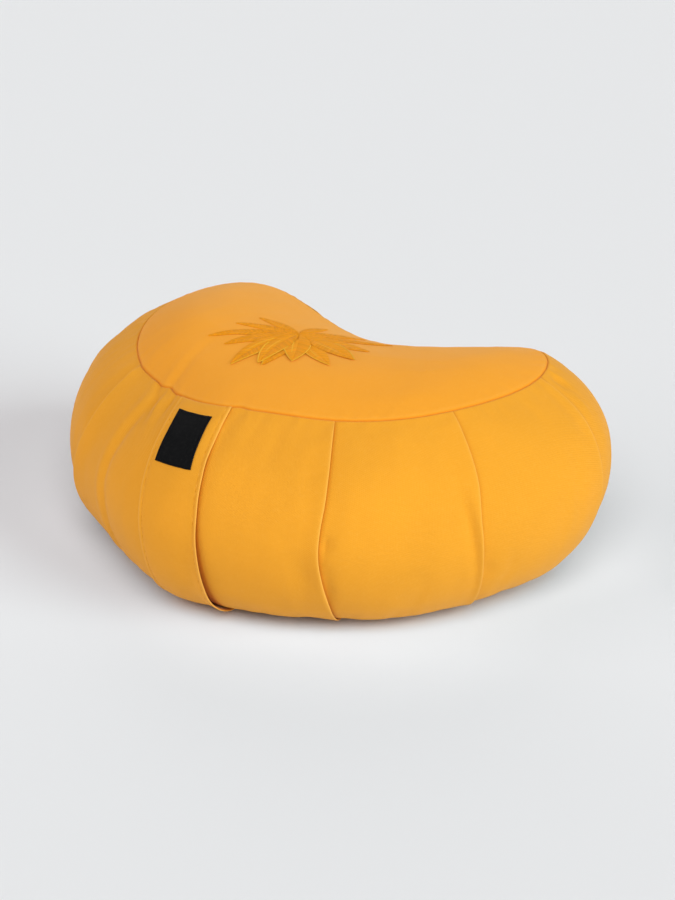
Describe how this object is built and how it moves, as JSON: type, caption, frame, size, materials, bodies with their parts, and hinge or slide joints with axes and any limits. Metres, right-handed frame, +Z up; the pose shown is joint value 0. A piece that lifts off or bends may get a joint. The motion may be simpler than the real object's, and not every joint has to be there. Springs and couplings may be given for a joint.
{
  "type": "crescent zafu meditation cushion",
  "caption": "Crescent meditation cushion with a pleated side band, a crowned top panel, a flat base, a carrying strap and a small blank label.",
  "frame": {"origin": "on the floor, at the middle of the cushion's footprint box", "axes": "+X towards the right horn of the crescent along its longest extent, +Y towards the heel notch at the back, +Z up; the strap and label are at the front, -Y"},
  "size_m": [0.4229, 0.3174, 0.1589],
  "materials": {
    "side_cotton": "marigold cotton twill, matte",
    "top_cotton": "marigold cotton twill, matte, with tone on tone stitching",
    "base_cotton": "marigold cotton twill, matte",
    "strap_cotton": "marigold cotton twill, matte, edge stitched",
    "label_cloth": "black woven tape, matte"
  },
  "bodies": {
    "root": {"pleated_body": "side_cotton", "top_panel": "top_cotton", "bottom_panel": "base_cotton", "handle_strap": "strap_cotton", "label": "label_cloth"}
  },
  "joints": []
}
